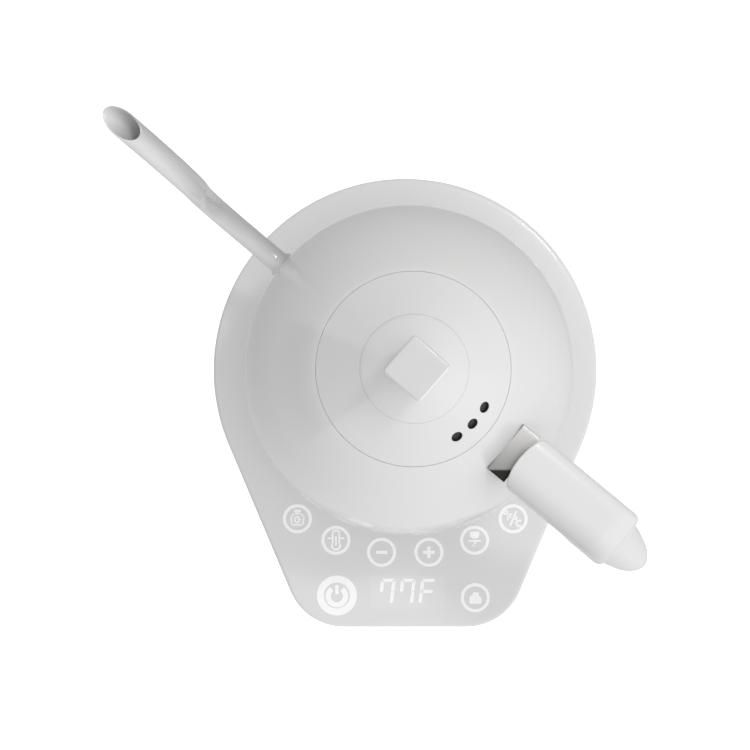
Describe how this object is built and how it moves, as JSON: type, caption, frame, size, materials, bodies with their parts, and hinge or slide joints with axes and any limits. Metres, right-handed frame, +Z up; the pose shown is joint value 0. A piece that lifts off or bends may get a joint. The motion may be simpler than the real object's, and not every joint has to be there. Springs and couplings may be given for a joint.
{
  "type": "electric gooseneck kettle",
  "caption": "Electric gooseneck pouring kettle with a domed body, square lid knob and open pistol handle, on a cordless touch-control power base.",
  "frame": {"origin": "middle of the footprint box (kettle turned as stored) on the surface it stands on; the swivel axis is 16 mm towards +Y and 2.5 mm towards +X", "axes": "+Z up, -Y towards the control panel, +X to the user's right"},
  "size_m": [0.2206, 0.2222, 0.197],
  "materials": {
    "enamel": "gloss white enamel on steel",
    "white_plastic": "white, softly glossy",
    "grey_plastic": "light grey, fine texture",
    "black_plastic": "matte black",
    "brushed_steel": "brushed",
    "steel": "bright zinc",
    "aluminium": "cast",
    "brass": "bright",
    "rubber": "matte dark grey",
    "silicone": "translucent white silicone",
    "circuit_board": "green solder mask"
  },
  "bodies": {
    "base": {"base_top_cover": "white_plastic", "base_bottom_cover": "grey_plastic", "foot_1": "rubber", "foot_2": "rubber", "foot_3": "rubber", "foot_4": "rubber", "foot_5": "rubber", "base_screw_1": "steel", "base_screw_2": "steel", "base_screw_3": "steel", "base_screw_4": "steel", "base_screw_5": "steel", "cord_gland": "rubber", "touch_board": "circuit_board", "touch_spring_1": "brass", "touch_spring_2": "brass", "touch_spring_3": "brass", "touch_spring_4": "brass", "touch_spring_5": "brass", "touch_spring_6": "brass", "touch_spring_7": "brass", "touch_spring_8": "brass", "display_module": "black_plastic", "power_board": "circuit_board", "transformer": "black_plastic", "relay": "black_plastic", "connector_housing": "black_plastic", "base_contact_live": "brass", "base_contact_neutral": "brass", "base_contact_earth": "brass"},
    "kettle_socket": {"socket_housing": "black_plastic", "socket_ring_live": "brass", "socket_ring_neutral": "brass", "socket_earth_pin": "brass"},
    "kettle": {"kettle_body": "enamel", "spout": "enamel", "kettle_skirt": "white_plastic", "heat_spreader": "aluminium", "heating_element": "brushed_steel", "thermal_cutout": "black_plastic", "temperature_probe": "brushed_steel", "mounting_lug_1": "steel", "mounting_lug_2": "steel", "mounting_lug_3": "steel", "skirt_screw_1": "steel", "skirt_screw_2": "steel", "skirt_screw_3": "steel", "handle_bracket": "brushed_steel", "handle_shell": "white_plastic", "handle_cover": "white_plastic", "handle_screw_1": "steel", "handle_screw_2": "steel"},
    "lid_seal": {"lid_seal": "silicone"},
    "lid": {"lid_shell": "enamel", "lid_cap": "white_plastic", "lid_knob": "white_plastic", "knob_screw": "steel", "lid_liner": "brushed_steel"}
  },
  "joints": [
    {"name": "kettle_lift", "type": "slide", "parent": "base", "child": "kettle_socket", "axis": [0, 0, 1], "range_m": [0, 0.12]},
    {"name": "kettle_swivel", "type": "hinge", "parent": "kettle_socket", "child": "kettle", "pos_m": [0.00254, 0.016, 0.022], "axis": [0, 0, 1], "continuous": true},
    {"name": "lid_lift", "type": "slide", "parent": "kettle", "child": "lid_seal", "axis": [0, 0, 1], "range_m": [0, 0.06]},
    {"name": "lid_turn", "type": "hinge", "parent": "lid_seal", "child": "lid", "pos_m": [0.00254, 0.016, 0.151], "axis": [0, 0, 1], "continuous": true}
  ]
}
